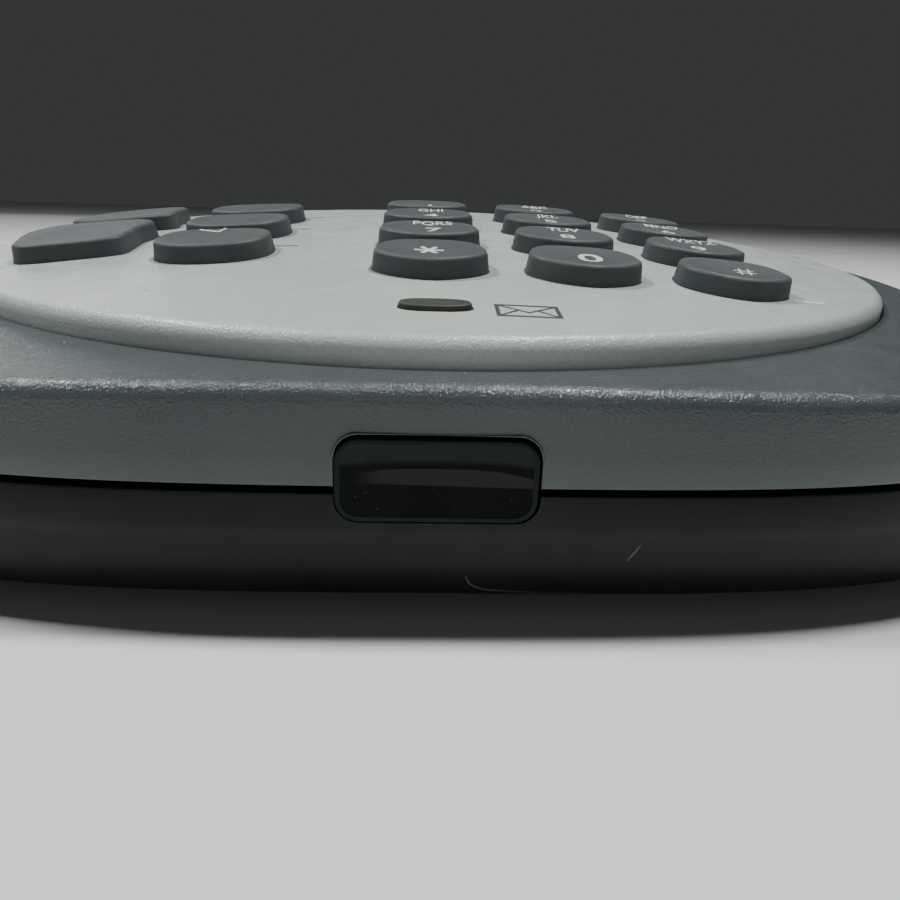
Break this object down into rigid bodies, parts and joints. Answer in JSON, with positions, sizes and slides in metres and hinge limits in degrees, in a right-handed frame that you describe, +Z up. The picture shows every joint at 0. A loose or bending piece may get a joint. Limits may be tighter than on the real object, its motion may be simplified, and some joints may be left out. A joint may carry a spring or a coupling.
{
  "type": "numeric keypad",
  "caption": "Desk numeric keypad console: wedge housing in two halves, crowned oval fascia, bowed sprung dial and function keys, infrared window in the front seam.",
  "frame": {"origin": "middle of the outline at table level, under the rubber feet", "axes": "+X to the user's right across the keys, +Y from the user to the rear, +Z up"},
  "size_m": [0.161, 0.1096, 0.0406],
  "materials": {
    "charcoal_case": "fine grained, satin",
    "blue_grey_case": "fine grained metallic paint, satin",
    "silver_fascia": "fine grained silver paint, satin",
    "smoked_window": "polished, infrared-pass black",
    "dark_component": "moulded",
    "blank_label": "plain printed stock, blank",
    "dome_rubber": "moulded silicone",
    "board_green": "solder mask over glass fibre",
    "bronze_key": "satin, worn",
    "foot_rubber": "moulded",
    "screw_steel": "zinc plated",
    "slate_key": "satin, edges worn"
  },
  "bodies": {
    "console": {"lower_housing": "charcoal_case", "upper_housing": "blue_grey_case", "keypad_fascia": "silver_fascia", "ir_window_lens": "smoked_window", "ir_transceiver": "dark_component", "line_socket": "dark_component", "rating_label": "blank_label", "dome_sheet": "dome_rubber", "main_board": "board_green", "rubber_foot_1": "foot_rubber", "rubber_foot_2": "foot_rubber", "rubber_foot_3": "foot_rubber", "rubber_foot_4": "foot_rubber", "case_screw_1": "screw_steel", "case_screw_2": "screw_steel", "case_screw_3": "screw_steel", "case_screw_4": "screw_steel"},
    "key_star": {"key_star": "slate_key"},
    "key_0": {"key_0": "slate_key"},
    "key_hash": {"key_hash": "slate_key"},
    "key_7": {"key_7": "slate_key"},
    "key_8": {"key_8": "slate_key"},
    "key_9": {"key_9": "slate_key"},
    "key_4": {"key_4": "slate_key"},
    "key_5": {"key_5": "slate_key"},
    "key_6": {"key_6": "slate_key"},
    "key_1": {"key_1": "slate_key"},
    "key_2": {"key_2": "slate_key"},
    "key_3": {"key_3": "slate_key"},
    "function_key_front": {"function_key_front": "slate_key"},
    "function_key_middle": {"function_key_middle": "slate_key"},
    "function_key_rear": {"function_key_rear": "slate_key"},
    "wedge_key_front": {"wedge_key_front": "slate_key"},
    "wedge_key_rear": {"wedge_key_rear": "slate_key"},
    "message_key": {"message_key": "bronze_key"}
  },
  "joints": [
    {"name": "key_star_press", "type": "slide", "parent": "console", "child": "key_star", "axis": [0.0012, 0.1496, -0.9887], "range_m": [0, 0.0012], "stiffness_N_per_m": 350, "springref_m": -0.0008},
    {"name": "key_0_press", "type": "slide", "parent": "console", "child": "key_0", "axis": [-0.0381, 0.1495, -0.988], "range_m": [0, 0.0012], "stiffness_N_per_m": 350, "springref_m": -0.0008},
    {"name": "key_hash_press", "type": "slide", "parent": "console", "child": "key_hash", "axis": [-0.0772, 0.1492, -0.9858], "range_m": [0, 0.0012], "stiffness_N_per_m": 350, "springref_m": -0.0008},
    {"name": "key_7_press", "type": "slide", "parent": "console", "child": "key_7", "axis": [0.0012, 0.1281, -0.9918], "range_m": [0, 0.0012], "stiffness_N_per_m": 350, "springref_m": -0.0008},
    {"name": "key_8_press", "type": "slide", "parent": "console", "child": "key_8", "axis": [-0.0381, 0.128, -0.991], "range_m": [0, 0.0012], "stiffness_N_per_m": 350, "springref_m": -0.0008},
    {"name": "key_9_press", "type": "slide", "parent": "console", "child": "key_9", "axis": [-0.0772, 0.1277, -0.9888], "range_m": [0, 0.0012], "stiffness_N_per_m": 350, "springref_m": -0.0008},
    {"name": "key_4_press", "type": "slide", "parent": "console", "child": "key_4", "axis": [0.0012, 0.1065, -0.9943], "range_m": [0, 0.0012], "stiffness_N_per_m": 350, "springref_m": -0.0008},
    {"name": "key_5_press", "type": "slide", "parent": "console", "child": "key_5", "axis": [-0.0381, 0.1064, -0.9936], "range_m": [0, 0.0012], "stiffness_N_per_m": 350, "springref_m": -0.0008},
    {"name": "key_6_press", "type": "slide", "parent": "console", "child": "key_6", "axis": [-0.0772, 0.1062, -0.9913], "range_m": [0, 0.0012], "stiffness_N_per_m": 350, "springref_m": -0.0008},
    {"name": "key_1_press", "type": "slide", "parent": "console", "child": "key_1", "axis": [0.0012, 0.0848, -0.9964], "range_m": [0, 0.0012], "stiffness_N_per_m": 350, "springref_m": -0.0008},
    {"name": "key_2_press", "type": "slide", "parent": "console", "child": "key_2", "axis": [-0.0381, 0.0848, -0.9957], "range_m": [0, 0.0012], "stiffness_N_per_m": 350, "springref_m": -0.0008},
    {"name": "key_3_press", "type": "slide", "parent": "console", "child": "key_3", "axis": [-0.0772, 0.0846, -0.9934], "range_m": [0, 0.0012], "stiffness_N_per_m": 350, "springref_m": -0.0008},
    {"name": "function_key_front_press", "type": "slide", "parent": "console", "child": "function_key_front", "axis": [0.0599, 0.1355, -0.989], "range_m": [0, 0.0012], "stiffness_N_per_m": 350, "springref_m": -0.0008},
    {"name": "function_key_middle_press", "type": "slide", "parent": "console", "child": "function_key_middle", "axis": [0.06, 0.114, -0.9917], "range_m": [0, 0.0012], "stiffness_N_per_m": 350, "springref_m": -0.0008},
    {"name": "function_key_rear_press", "type": "slide", "parent": "console", "child": "function_key_rear", "axis": [0.0599, 0.0924, -0.9939], "range_m": [0, 0.0012], "stiffness_N_per_m": 350, "springref_m": -0.0008},
    {"name": "wedge_key_front_press", "type": "slide", "parent": "console", "child": "wedge_key_front", "axis": [0.1023, 0.1245, -0.9869], "range_m": [0, 0.0012], "stiffness_N_per_m": 350, "springref_m": -0.0008},
    {"name": "wedge_key_rear_press", "type": "slide", "parent": "console", "child": "wedge_key_rear", "axis": [0.1023, 0.0908, -0.9906], "range_m": [0, 0.0012], "stiffness_N_per_m": 350, "springref_m": -0.0008},
    {"name": "message_key_press", "type": "slide", "parent": "console", "child": "message_key", "axis": [0.0006, 0.1718, -0.9851], "range_m": [0, 0.0012], "stiffness_N_per_m": 350, "springref_m": -0.0008}
  ]
}
